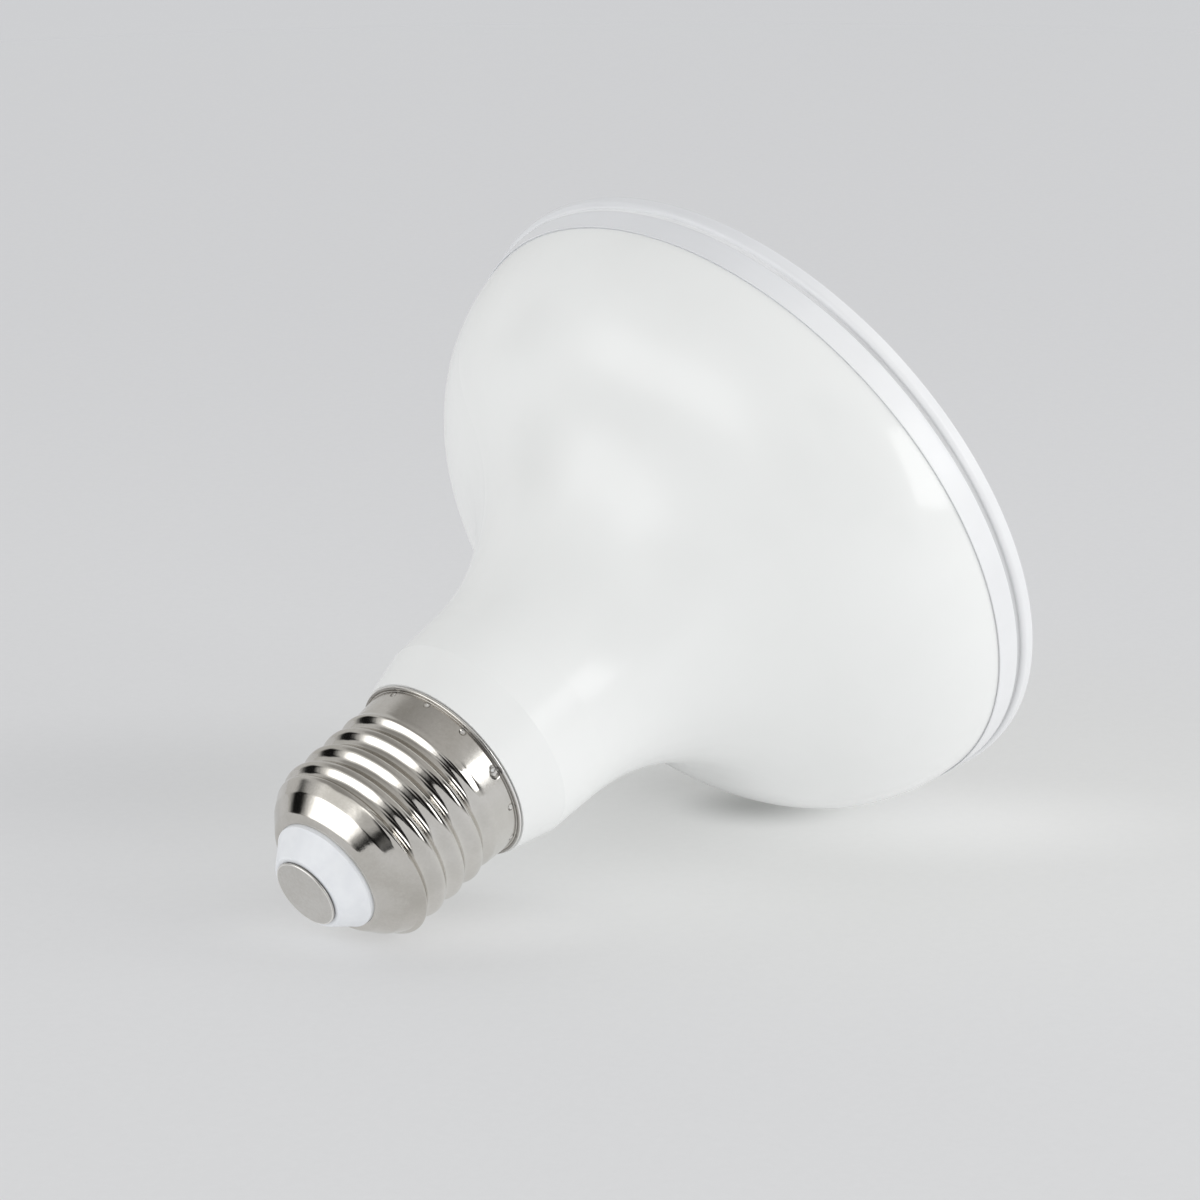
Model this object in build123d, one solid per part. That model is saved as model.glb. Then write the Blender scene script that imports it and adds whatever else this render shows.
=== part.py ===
from build123d import *
import math
import os

# A reflector-shaped LED lamp with a medium Edison screw cap. It stands on its front rim:
# Z is the lamp's axis, the rim of the clear cover lies in Z = 0 and the cap points up.
# All sizes are millimetres, and angles are degrees.

# Clear front cover
rim_diameter = 95.0
rim_height = 2.9
rim_edge_width = 1.9
rim_edge_height = 1.0
rim_shoulder = 0.8
rim_land_width = 2.6
lens_recess = 0.5
lens_thickness = 2.2
skirt_height = 6.8
skirt_diameter = 93.0
skirt_wall = 1.6
groove_width = 0.7
groove_depth = 0.8
tongue_height = 3.2
tongue_wall = 1.4

# White bell-shaped housing
bell_mouth_diameter = 92.4
bell_mouth_slope = 6.5
bell_round_radius = 22.8
flare_round_radius = 31.5
neck_diameter = 31.5
neck_taper = 2.2
neck_length = 7.66
collar_cone_length = 6.4
collar_cone_diameter = 27.6
housing_wall = 2.0
inside_steps = 5
spigot_wall = 1.4
boss_diameter = 7.0
rail_width = 4.4
rail_depth = 2.2

# Screw cap
cap_length = 27.2
thread_pitch = 3.629
thread_crest_diameter = 26.15
thread_root_diameter = 24.1
thread_start_angle = 219.0
thread_ridge_width = 3.3
crest_width = 0.36
bevel_width = 0.78
bevel_depth = 0.58
shell_wall = 0.35
shell_lip_diameter = 27.2
shell_lip_height = 0.6
collar_height = 4.2
collar_diameter = 25.6
shoulder_diameter = 25.2
shoulder_slope = 44.0
shoulder_land = 0.15
shoulder_inner_round = 2.0
shoulder_outer_round = 1.5
shoulder_taper = 0.6
insulator_height = 4.3
insulator_diameter = 16.1
insulator_foot_height = 0.5
insulator_tip_diameter = 11.1
insulator_flange_thickness = 1.4
contact_diameter = 9.8
contact_thickness = 0.5
contact_stem_diameter = 2.4
contact_stem_length = 6.6

# Light engine behind the cover
board_setback = 7.0
led_board_margin = 3.5
led_board_thickness = 1.2
lead_hole_diameter = 6.0
spreader_thickness = 1.5
spreader_skirt_height = 7.0
led_length = 3.5
led_width = 2.8
led_height = 0.7
inner_led_ring_diameter = 28.0
inner_led_count = 8
outer_led_margin = 5.0
outer_led_count = 16
screw_circle_diameter = 46.0
screw_count = 3
screw_diameter = 3.0
screw_length = 9.0
screw_head_diameter = 5.6
screw_head_height = 1.9
connector_length = 9.0
connector_width = 7.0
connector_height = 3.6

# Driver in the neck
driver_thickness = 1.6
driver_edge_gap = 0.8
wire_diameter = 1.2
wire_lap = 4.0
lead_spacing = 2.6
bulk_capacitor_diameter = 8.0
bulk_capacitor_length = 13.0
output_capacitor_diameter = 6.3
output_capacitor_length = 11.0
inductor_diameter = 9.0
inductor_height = 9.0
inductor_flange = 1.4
winding_diameter = 8.2
inductor_core_diameter = 4.5
film_capacitor_size = (7.2, 4.0, 8.0)
bridge_size = (4.7, 1.6, 4.0)
driver_chip_size = (4.9, 1.5, 3.9)
diode_size = (2.6, 2.1, 4.3)
fuse_diameter = 3.2
fuse_length = 8.0
part_spacing = 1.0

# Clearances
fit_clearance = 0.15
hole_clearance = 0.2

# Radii and heights worked out from the sizes above
rim_radius = rim_diameter / 2
skirt_radius = skirt_diameter / 2
mouth_radius = bell_mouth_diameter / 2
neck_radius = neck_diameter / 2
mouth_angle = math.radians(bell_mouth_slope)
neck_angle = math.radians(neck_taper)
steep_angle = math.acos(
    (
        bell_round_radius * math.cos(mouth_angle)
        + flare_round_radius * math.cos(neck_angle)
        - (mouth_radius - neck_radius)
    )
    / (bell_round_radius + flare_round_radius)
)
seam_z = skirt_height
tongue_outer = skirt_radius - skirt_wall - tongue_wall
tongue_inner = tongue_outer - tongue_wall
socket_radius = tongue_outer + fit_clearance
socket_top_z = seam_z + tongue_height + fit_clearance
steep_z = seam_z + bell_round_radius * (math.sin(steep_angle) - math.sin(mouth_angle))
flare_z = steep_z + flare_round_radius * (math.sin(steep_angle) - math.sin(neck_angle))
crease_z = flare_z + neck_length
crease_radius = neck_radius - neck_length * math.tan(neck_angle)
lip_z = crease_z + collar_cone_length
top_z = lip_z + cap_length
root_radius = thread_root_diameter / 2
crest_radius = thread_crest_diameter / 2
collar_radius = collar_diameter / 2
lip_radius = shell_lip_diameter / 2
insulator_radius = insulator_diameter / 2
shoulder_radius = shoulder_diameter / 2
shoulder_angle = math.radians(shoulder_slope)
shoulder_z = top_z - insulator_height
land_radius = insulator_radius + shoulder_land
cone_top_radius = land_radius + shoulder_inner_round * math.cos(shoulder_angle)
cone_top_z = shoulder_z - shoulder_inner_round * (1 - math.sin(shoulder_angle))
cone_foot_radius = shoulder_radius - shoulder_outer_round * (1 - math.cos(shoulder_angle))
cone_foot_z = cone_top_z - (cone_foot_radius - cone_top_radius) / math.tan(shoulder_angle)
shoulder_end_z = cone_foot_z - shoulder_outer_round * math.sin(shoulder_angle)
thread_end_z = shoulder_end_z - shoulder_taper
collar_top_z = lip_z + collar_height
collar_fit = shell_wall + fit_clearance
bore_radius = root_radius - shell_wall
spigot_radius = bore_radius - fit_clearance
spigot_bore = spigot_radius - spigot_wall
spigot_top_z = shoulder_end_z - thread_pitch / 2
board_front_z = seam_z + board_setback
board_back_z = board_front_z + led_board_thickness
spreader_back_z = board_back_z + spreader_thickness
wire_radius = wire_diameter / 2
driver_face_y = -wire_radius
driver_back_y = driver_face_y - driver_thickness
driver_width = 2 * math.sqrt((spigot_bore - driver_edge_gap) ** 2 - driver_back_y**2)
driver_top_z = spigot_top_z - part_spacing
third_row_z = driver_top_z - wire_lap - part_spacing - max(film_capacitor_size[2], fuse_length)
second_row_z = third_row_z - part_spacing - bulk_capacitor_length
first_row_z = second_row_z - part_spacing - max(output_capacitor_length, inductor_diameter)
driver_bottom_z = first_row_z - part_spacing - wire_lap
column_x = driver_width / 4
fuse_x = -(film_capacitor_size[0] + fuse_diameter + part_spacing) / 2


def turned(outline):
    """A solid turned about the lamp's axis from a closed outline of radius and height."""
    return revolve(make_face(Plane.XZ * outline), Axis.Z)


def rod(radius, low, high, x=0.0, y=0.0):
    """An upright cylinder between two heights."""
    return Pos(x, y, (low + high) / 2) * Cylinder(radius, high - low)


def block(x, y, z):
    """A box between the low and high value of each pair."""
    size = Box(x[1] - x[0], y[1] - y[0], z[1] - z[0])
    return Pos((x[0] + x[1]) / 2, (y[0] + y[1]) / 2, (z[0] + z[1]) / 2) * size


def bell_point(angle, inset=0.0):
    """A point of the bell's round, or of its offset into the wall, where the wall leans by angle."""
    reach = bell_round_radius
    radius = mouth_radius + reach * (math.cos(angle) - math.cos(mouth_angle)) - inset * math.cos(angle)
    height = seam_z + reach * (math.sin(angle) - math.sin(mouth_angle)) - inset * math.sin(angle)
    return radius, height


def flare_point(angle, inset=0.0):
    """A point of the hollow round between bell and neck, or of its offset into the wall."""
    reach = flare_round_radius
    radius = neck_radius + reach * (math.cos(neck_angle) - math.cos(angle)) - inset * math.cos(angle)
    height = flare_z - reach * (math.sin(angle) - math.sin(neck_angle)) - inset * math.sin(angle)
    return radius, height


def arc(point_at, start, end):
    """The arc of one of the two rounds between two wall angles."""
    return ThreePointArc(point_at(start), point_at((start + end) / 2), point_at(end))


def inside_points(point_at, start, end, inset):
    """Points along the inside of one of the two rounds, evenly spaced in wall angle."""
    step = (end - start) / inside_steps
    return [point_at(start + step * i, inset) for i in range(inside_steps + 1)]


def bell_angle_at(height, inset):
    """The wall angle at which the bell's offset round passes a height."""
    reach = bell_round_radius - inset
    centre = seam_z - bell_round_radius * math.sin(mouth_angle)
    return math.asin((height - centre) / reach)


def bell_outside():
    """The outer outline from mouth to cap: round, flare, neck, crease and collar cone."""
    return (
        arc(bell_point, mouth_angle, steep_angle)
        + arc(flare_point, steep_angle, neck_angle)
        + Polyline((neck_radius, flare_z), (crease_radius, crease_z), (collar_cone_diameter / 2, lip_z))
    )


def make_housing():
    """The bell, neck and cap spigot, moulded in one piece, with screw bosses and driver rails."""
    inner_start = bell_angle_at(socket_top_z, housing_wall)
    neck_bore = flare_point(neck_angle, housing_wall)[0]
    inside = Polyline(
        *inside_points(bell_point, inner_start, steep_angle, housing_wall),
        *inside_points(flare_point, steep_angle, neck_angle, housing_wall)[1:],
        (neck_bore - neck_length * math.tan(neck_angle), crease_z),
        (spigot_bore, lip_z),
        (spigot_bore, spigot_top_z),
    )
    spigot = Polyline(
        (collar_cone_diameter / 2, lip_z),
        (lip_radius - collar_fit - shell_wall, lip_z),
        (collar_radius - collar_fit, collar_top_z - collar_fit),
        (spigot_radius, collar_top_z - collar_fit),
        (spigot_radius, spigot_top_z),
        (spigot_bore, spigot_top_z),
    )
    mouth = Polyline(
        bell_point(inner_start, housing_wall),
        (socket_radius, socket_top_z),
        (socket_radius, seam_z),
        (mouth_radius, seam_z),
    )
    housing = turned(bell_outside() + spigot + inside + mouth)
    wall_middle = (
        *inside_points(bell_point, inner_start, steep_angle, housing_wall / 2),
        *inside_points(flare_point, steep_angle, neck_angle, housing_wall / 2)[1:],
    )
    foot, head = wall_middle[0], wall_middle[-1]
    filled = turned(Polyline((0, foot[1]), *wall_middle, (0, head[1]), (0, foot[1])))
    for x, y in screw_places():
        boss = rod(boss_diameter / 2, spreader_back_z, flare_z, x, y)
        housing += boss & filled
        housing -= rod(screw_diameter / 2 + hole_clearance / 2, seam_z, screw_tip_z(), x, y)
    for side in (-1, 1):
        housing += driver_rail(side)
    return housing


def driver_rail(side):
    """A grooved rail inside the spigot that holds one edge of the driver board."""
    outer = side * (spigot_bore + spigot_wall / 2)
    inner = side * (driver_width / 2 - rail_depth / 2)
    middle_y = (driver_face_y + driver_back_y) / 2
    rail = block(
        sorted((inner, outer)),
        (middle_y - rail_width / 2, middle_y + rail_width / 2),
        (lip_z, spigot_top_z),
    )
    rail &= rod(spigot_bore + spigot_wall / 2, lip_z, spigot_top_z)
    slot = block(
        sorted((0, side * (driver_width / 2 + fit_clearance))),
        (driver_back_y - fit_clearance, driver_face_y + fit_clearance),
        (lip_z, spigot_top_z),
    )
    return rail - slot


def make_front_cover():
    """The clear cover: recessed lens, bevelled rim, groove, skirt and the tongue in the bell."""
    groove_z = rim_height + groove_width
    land_outer = rim_radius - rim_edge_width
    land_inner = land_outer - rim_land_width
    outline = Polyline(
        (0, lens_recess),
        (land_inner, lens_recess),
        (land_inner, 0),
        (land_outer, 0),
        (rim_radius, rim_edge_height),
        (rim_radius, rim_height - rim_shoulder),
        (rim_radius - groove_depth, rim_height),
        (rim_radius - groove_depth, groove_z),
        (skirt_radius + groove_depth / 2, groove_z),
        (skirt_radius, seam_z),
        (tongue_outer, seam_z),
        (tongue_outer, seam_z + tongue_height),
        (tongue_inner, seam_z + tongue_height),
        (tongue_inner, seam_z - skirt_wall),
        (skirt_radius - skirt_wall, seam_z - skirt_wall),
        (skirt_radius - skirt_wall, lens_recess + lens_thickness),
        (0, lens_recess + lens_thickness),
        (0, lens_recess),
    )
    return turned(outline)


def threaded_wall():
    """The rolled wall with its knuckle thread, one right-handed ridge with bevelled flanks."""
    half = thread_ridge_width / 2
    depth = crest_radius - root_radius
    foot = -shell_wall / 2
    low = collar_top_z - thread_pitch
    high = thread_end_z + thread_pitch
    path = Helix(thread_pitch, high - low, root_radius, center=(0, 0, low))
    outline = Polyline(
        (foot, -half),
        (depth * bevel_depth, -half * bevel_width),
        (depth, -half * crest_width),
        (depth, half * crest_width),
        (depth * bevel_depth, half * bevel_width),
        (foot, half),
        (foot, -half),
    )
    section = Plane(origin=path @ 0, x_dir=(1, 0, 0), z_dir=path % 0) * make_face(outline)
    ridge = Rot(0, 0, thread_start_angle) * sweep(section, path=path, is_frenet=True)
    tube = rod(root_radius, low - thread_pitch, high + thread_pitch)
    tube -= rod(bore_radius, low - thread_pitch, high + thread_pitch)
    wall = (tube + ridge) & rod(rim_radius, collar_top_z, thread_end_z)
    return wall.solid()


def make_screw_shell():
    """The thin metal shell: conical shoulder, threaded wall, plain collar and outward lip."""
    cone_top = (cone_top_radius, cone_top_z)
    cone_foot = (cone_foot_radius, cone_foot_z)
    inside_top_radius = cone_top_radius - shell_wall * math.cos(shoulder_angle)
    inside_top_z = cone_top_z - shell_wall * math.sin(shoulder_angle)
    inside_foot_z = inside_top_z - (bore_radius - inside_top_radius) / math.tan(shoulder_angle)
    shoulder = Line((insulator_radius, shoulder_z), (land_radius, shoulder_z))
    shoulder += RadiusArc((land_radius, shoulder_z), cone_top, shoulder_inner_round)
    shoulder += Line(cone_top, cone_foot)
    shoulder += RadiusArc(cone_foot, (shoulder_radius, shoulder_end_z), shoulder_outer_round)
    shoulder += Polyline(
        (shoulder_radius, shoulder_end_z),
        (root_radius, thread_end_z),
        (bore_radius, thread_end_z),
        (bore_radius, inside_foot_z),
        (inside_top_radius, inside_top_z),
    )
    shoulder += RadiusArc(
        (inside_top_radius, inside_top_z),
        (land_radius, shoulder_z - shell_wall),
        shell_wall - shoulder_inner_round,
    )
    shoulder += Polyline(
        (land_radius, shoulder_z - shell_wall),
        (insulator_radius, shoulder_z - shell_wall),
        (insulator_radius, shoulder_z),
    )
    collar = Polyline(
        (bore_radius, collar_top_z),
        (collar_radius, collar_top_z),
        (lip_radius - shell_wall, lip_z + shell_lip_height),
        (lip_radius, lip_z + shell_lip_height),
        (lip_radius, lip_z),
        (lip_radius - 2 * shell_wall, lip_z),
        (collar_radius - shell_wall, collar_top_z - shell_wall),
        (bore_radius, collar_top_z - shell_wall),
        (bore_radius, collar_top_z),
    )
    return turned(shoulder) + threaded_wall() + turned(collar)


def make_cap_insulator():
    """The white cone between shell and contact, with a flange under the shell's edge."""
    seat_z = top_z - contact_thickness
    flange_top = shoulder_z - shell_wall - fit_clearance
    flange_radius = insulator_radius + shell_wall
    hole = contact_stem_diameter / 2 + hole_clearance / 2
    stem_radius = insulator_radius - fit_clearance / 2
    outline = Polyline(
        (hole, seat_z),
        (insulator_tip_diameter / 2, seat_z),
        (stem_radius, shoulder_z + insulator_foot_height),
        (stem_radius, flange_top),
        (flange_radius, flange_top),
        (flange_radius, flange_top - insulator_flange_thickness),
        (hole, flange_top - insulator_flange_thickness),
        (hole, seat_z),
    )
    return turned(outline)


def contact_foot_z():
    """The height of the open lower end of the contact's stem."""
    return top_z - contact_stem_length


def make_centre_contact():
    """The contact disc and its tubular stem, which takes the live wire."""
    disc = rod(contact_diameter / 2, top_z - contact_thickness, top_z)
    disc = chamfer(disc.edges().group_by(Axis.Z)[-1], contact_thickness / 2)
    stem = rod(contact_stem_diameter / 2, contact_foot_z(), top_z - contact_thickness)
    bore = rod(wire_radius + hole_clearance / 2, contact_foot_z(), top_z - 2 * contact_thickness)
    return disc + stem - bore


def screw_places():
    """The places of the board screws on their circle."""
    return [
        (
            screw_circle_diameter / 2 * math.cos(math.radians(90 + 360 * i / screw_count)),
            screw_circle_diameter / 2 * math.sin(math.radians(90 + 360 * i / screw_count)),
        )
        for i in range(screw_count)
    ]


def screw_tip_z():
    """The height of the screws' tips in their bosses."""
    return board_front_z + screw_length


def spreader_point(height):
    """The spreader's edge at a height, set off the bell's inner wall by the fit."""
    gap = housing_wall + fit_clearance
    return bell_point(bell_angle_at(height, gap), gap)


led_board_radius = spreader_point(board_back_z)[0] - led_board_margin


def make_heat_spreader():
    """The pressed aluminium cup that carries the board and lies along the bell's wall."""
    foot = spreader_point(board_back_z)
    head = spreader_point(board_back_z + spreader_skirt_height)
    wall = spreader_thickness
    outline = Polyline(
        (lead_hole_diameter / 2, board_back_z),
        foot,
        head,
        (head[0] - wall, head[1]),
        (foot[0] - wall - wall / 2, spreader_back_z),
        (lead_hole_diameter / 2, spreader_back_z),
        (lead_hole_diameter / 2, board_back_z),
    )
    spreader = turned(outline)
    for x, y in screw_places():
        spreader -= rod(screw_diameter / 2 + hole_clearance, board_front_z, screw_tip_z(), x, y)
    return spreader


def make_led_board():
    """The round metal-core board."""
    board = rod(led_board_radius, board_front_z, board_back_z)
    board -= rod(lead_hole_diameter / 2, board_front_z, board_back_z)
    for x, y in screw_places():
        board -= rod(screw_diameter / 2 + hole_clearance, board_front_z, board_back_z, x, y)
    return board


def make_led_chips():
    """Two rings of surface-mounted light sources on the board's front."""
    chips = []
    rings = (
        (inner_led_ring_diameter / 2, inner_led_count),
        (led_board_radius - outer_led_margin, outer_led_count),
    )
    for radius, count in rings:
        for i in range(count):
            place = Rot(0, 0, 360 * (i + 0.5) / count) * Pos(radius, 0, board_front_z - led_height / 2)
            chips.append(place * Box(led_width, led_length, led_height))
    return Compound(children=chips)


def make_board_screws():
    """Pan-head screws through board and spreader into the bell's bosses."""
    screws = []
    head_radius = screw_head_diameter / 2
    for x, y in screw_places():
        head = rod(head_radius, board_front_z - screw_head_height, board_front_z, x, y)
        head = chamfer(head.edges().group_by(Axis.Z)[0], screw_head_height / 3)
        screws.append(head + rod(screw_diameter / 2, board_front_z, screw_tip_z(), x, y))
    return Compound(children=screws)


def make_lead_connector():
    """The small block on the board's front in which the two leads end."""
    return block(
        (-connector_length / 2, connector_length / 2),
        (-connector_width / 2, connector_width / 2),
        (board_front_z - connector_height, board_front_z),
    )


def make_lead(side):
    """A straight lead from the driver's end to the connector."""
    x = side * lead_spacing / 2
    return rod(wire_radius, board_front_z, driver_bottom_z + wire_lap, x, 0)


def make_driver_board():
    """The upright circuit board between the two rails."""
    return block(
        (-driver_width / 2, driver_width / 2), (driver_back_y, driver_face_y), (driver_bottom_z, driver_top_z)
    )


def make_live_wire():
    """The straight wire from the board's upper end into the contact's stem."""
    return rod(wire_radius, driver_top_z - wire_lap, contact_foot_z() + contact_stem_length / 2)


def make_neutral_wire():
    """The wire from the board's upper end, bent over the spigot's edge to the shell."""
    x = driver_width / 3
    over_z = spigot_top_z + wire_diameter
    path = Polyline(
        (x, 0, driver_top_z - wire_lap), (x, 0, over_z), (bore_radius - fit_clearance, 0, over_z)
    )
    section = Plane(origin=path @ 0, z_dir=path % 0) * Circle(wire_radius)
    return sweep(section, path=path, transition=Transition.RIGHT)


def on_face(size, x, low):
    """A component on the board's face, from its width, depth and length."""
    width, depth, length = size
    return block((x - width / 2, x + width / 2), (driver_face_y, driver_face_y + depth), (low, low + length))


def on_back(size, x, low):
    """A component on the board's back, from its width, depth and length."""
    width, depth, length = size
    return block((x - width / 2, x + width / 2), (driver_back_y - depth, driver_back_y), (low, low + length))


def lying_can(diameter, length, x, low):
    """A capacitor can that lies along the board's face."""
    return rod(diameter / 2, low, low + length, x, driver_face_y + diameter / 2)


def drum(diameter, start, end):
    """A round slice of the upright inductor, between two distances from the board's face."""
    middle = (start + end) / 2
    place = Pos(-column_x, driver_face_y + middle, first_row_z + inductor_diameter / 2) * Rot(90, 0, 0)
    return place * Cylinder(diameter / 2, end - start)


def make_inductor_core():
    """The ferrite drum: a post between two flanges."""
    core = drum(inductor_diameter, 0, inductor_flange)
    core += drum(inductor_core_diameter, 0, inductor_height)
    core += drum(inductor_diameter, inductor_height - inductor_flange, inductor_height)
    return core


def make_inductor_winding():
    """The copper winding round the drum's post."""
    start = inductor_flange + fit_clearance
    end = inductor_height - inductor_flange - fit_clearance
    return drum(winding_diameter, start, end) - drum(inductor_core_diameter + 2 * fit_clearance, start, end)


parts = {
    "screw_shell": make_screw_shell(),
    "cap_insulator": make_cap_insulator(),
    "centre_contact": make_centre_contact(),
    "housing": make_housing(),
    "front_cover": make_front_cover(),
    "heat_spreader": make_heat_spreader(),
    "led_board": make_led_board(),
    "led_chips": make_led_chips(),
    "board_screws": make_board_screws(),
    "lead_connector": make_lead_connector(),
    "positive_lead": make_lead(1),
    "negative_lead": make_lead(-1),
    "driver_board": make_driver_board(),
    "inductor_core": make_inductor_core(),
    "inductor_winding": make_inductor_winding(),
    "output_capacitor": lying_can(output_capacitor_diameter, output_capacitor_length, column_x, first_row_z),
    "bulk_capacitor": lying_can(bulk_capacitor_diameter, bulk_capacitor_length, 0, second_row_z),
    "film_capacitor": on_face(film_capacitor_size, 0, third_row_z),
    "fuse_resistor": lying_can(fuse_diameter, fuse_length, fuse_x, third_row_z),
    "flyback_diode": on_back(diode_size, 0, first_row_z),
    "driver_chip": on_back(driver_chip_size, 0, second_row_z),
    "bridge_rectifier": on_back(bridge_size, 0, third_row_z),
    "live_wire": make_live_wire(),
    "neutral_wire": make_neutral_wire(),
}

os.makedirs("parts", exist_ok=True)
for name, solid in parts.items():
    export_step(solid, f"parts/{name}.step")
    print(name, round(solid.volume))
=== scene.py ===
import math

import bpy
from mathutils import Matrix, Vector


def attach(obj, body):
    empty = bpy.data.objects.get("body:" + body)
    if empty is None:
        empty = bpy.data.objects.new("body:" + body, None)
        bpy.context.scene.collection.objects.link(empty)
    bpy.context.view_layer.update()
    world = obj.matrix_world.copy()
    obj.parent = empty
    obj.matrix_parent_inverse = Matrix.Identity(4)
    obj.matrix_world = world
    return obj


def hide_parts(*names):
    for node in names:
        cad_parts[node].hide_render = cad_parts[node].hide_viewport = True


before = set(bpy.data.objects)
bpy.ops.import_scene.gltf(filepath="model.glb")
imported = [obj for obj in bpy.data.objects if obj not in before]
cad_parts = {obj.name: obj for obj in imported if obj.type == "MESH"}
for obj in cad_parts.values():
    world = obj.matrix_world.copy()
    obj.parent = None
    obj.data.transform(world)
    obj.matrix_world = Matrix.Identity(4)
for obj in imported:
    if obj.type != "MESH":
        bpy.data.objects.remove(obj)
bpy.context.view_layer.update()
scene = bpy.context.scene
scene.view_settings.view_transform = "Standard"
mm = 0.001
toDegrees = 180 / math.pi


class Wire:  # a shader socket with arithmetic
    def __init__(self, tree, socket):
        self.tree = tree
        self.socket = socket

    def feed(self, target, value):  # links a wire, or sets a fixed value
        if isinstance(value, Wire):
            self.tree.links.new(value.socket, target)
        elif target.type == "RGBA":
            target.default_value = (*value, 1)
        else:
            target.default_value = value

    def add(self, kind, settings=None, values=None, out=0):
        node = self.tree.nodes.new(kind)
        for name, value in (settings or {}).items():
            setattr(node, name, value)
        for name, value in (values or {}).items():
            self.feed(node.inputs[name], value)
        return Wire(self.tree, node.outputs[out])

    def output(self, name):  # another output of the same node
        return Wire(self.tree, self.socket.node.outputs[name])

    def maths(self, operation, *values):
        return self.add("ShaderNodeMath", {"operation": operation}, dict(enumerate(values)))

    def __add__(self, other):
        return self.maths("ADD", self, other)

    def __radd__(self, other):
        return self.maths("ADD", other, self)

    def __sub__(self, other):
        return self.maths("SUBTRACT", self, other)

    def __rsub__(self, other):
        return self.maths("SUBTRACT", other, self)

    def __mul__(self, other):
        return self.maths("MULTIPLY", self, other)

    def __rmul__(self, other):
        return self.maths("MULTIPLY", other, self)

    def __truediv__(self, other):
        return self.maths("DIVIDE", self, other)

    def __rtruediv__(self, other):
        return self.maths("DIVIDE", other, self)

    def hypot(self, other):  # length of two values at right angles
        return self.maths("POWER", self * self + other * other, 0.5)

    def facing(self, degrees):  # for an angle in radians: 1 at that heading, -1 opposite it
        return self.maths("COSINE", self - math.radians(degrees))

    def smooth(self, low, high):  # smooth step from 0 at low to 1 at high
        values = {0: self, 1: low, 2: high}
        return self.add("ShaderNodeMapRange", {"interpolation_type": "SMOOTHSTEP"}, values)

    def band(self, low, high, soft):  # 1 between two values, with soft ends
        return self.smooth(low - soft, low + soft) * (1 - self.smooth(high - soft, high + soft))

    def mix(self, first, second):  # colour mix with this as the factor
        return self.add("ShaderNodeMix", {"data_type": "RGBA"}, {0: self, 6: first, 7: second}, 2)

    def vectors(self, operation, other, out="Vector"):
        return self.add("ShaderNodeVectorMath", {"operation": operation}, {0: self, 1: other}, out)

    def dot(self, vector):
        return self.vectors("DOT_PRODUCT", vector, "Value")

    def noise(self, scale, detail, roughness):
        values = {"Vector": self, "Scale": scale, "Detail": detail, "Roughness": roughness}
        return self.add("ShaderNodeTexNoise", None, values)

    def bump(self):  # this is a height in millimetres
        return self.add("ShaderNodeBump", None, {"Strength": 1.0, "Distance": mm, "Height": self})


class Finish:  # a material and its Principled shader
    def __init__(self, name, fixed):
        self.material = bpy.data.materials.new(name)
        self.material.use_nodes = True
        self.tree = self.material.node_tree
        self.shader = self.tree.nodes["Principled BSDF"]
        self.root = Wire(self.tree, None)
        for key, value in fixed.items():
            self.set(key, value)

    def set(self, key, value):
        self.root.feed(self.shader.inputs[key], value)

    def show(self, wire):  # sends a shader to the material's output
        self.root.feed(self.tree.nodes["Material Output"].inputs[0], wire)

    def place(self):  # position in the lamp's frame, in millimetres
        return self.root.add("ShaderNodeNewGeometry").vectors("MULTIPLY", (1 / mm, 1 / mm, 1 / mm))

    def polar(self):  # angle about the lamp's axis in radians, radius and height in millimetres
        x = self.root.add("ShaderNodeSeparateXYZ", None, {0: self.place()})
        y = x.output(1)
        return y.maths("ARCTAN2", y, x), x.hypot(y), x.output(2)


print("stage: view")

view = {
    "azimuth": -6.604, "elevation": 30.45, "roll": 131.809,  # degrees
    "lens": 162.0, "sensor": 36.0, "place": (-69.012, -621.424, 398.591),  # mm
    "clip": (0.05, 20.0),  # metres
}
ground = {  # the floor leans against the lamp, which keeps its own frame
    "azimuth": 135.0, "lean": 23.93,  # the side that lies on the floor, and the floor's slope, degrees
    "touch": (44.392, 13.469),  # radius and height where the bell touches the floor, mm
}


def heading(azimuth, height):
    a = math.radians(azimuth)
    h = math.radians(height)
    return Vector((math.cos(a) * math.cos(h), math.sin(a) * math.cos(h), math.sin(h)))


def makeCamera():  # gives the direction to the picture's right
    forward = -heading(view["azimuth"] - 90, view["elevation"])
    side = forward.cross(Vector((0, 0, 1))).normalized()
    level = side.cross(forward)
    roll = math.radians(view["roll"])
    up = level * math.cos(roll) + side * math.sin(roll)
    right = forward.cross(up)
    camera = bpy.data.objects.new("camera", bpy.data.cameras.new("camera"))
    scene.collection.objects.link(camera)
    camera.data.lens = view["lens"]
    camera.data.sensor_width = view["sensor"]
    camera.data.clip_start, camera.data.clip_end = view["clip"]
    turn = Matrix((right, up, -forward)).transposed().to_4x4()
    camera.matrix_world = Matrix.Translation(Vector(view["place"]) * mm) @ turn
    scene.camera = camera
    return right


viewRight = makeCamera()
groundUp = -heading(ground["azimuth"], ground["lean"])
viewTowards = viewRight.cross(groundUp)

print("stage: pieces")

pinhole = 0.01  # radius of the first row of a turned face, mm


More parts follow.
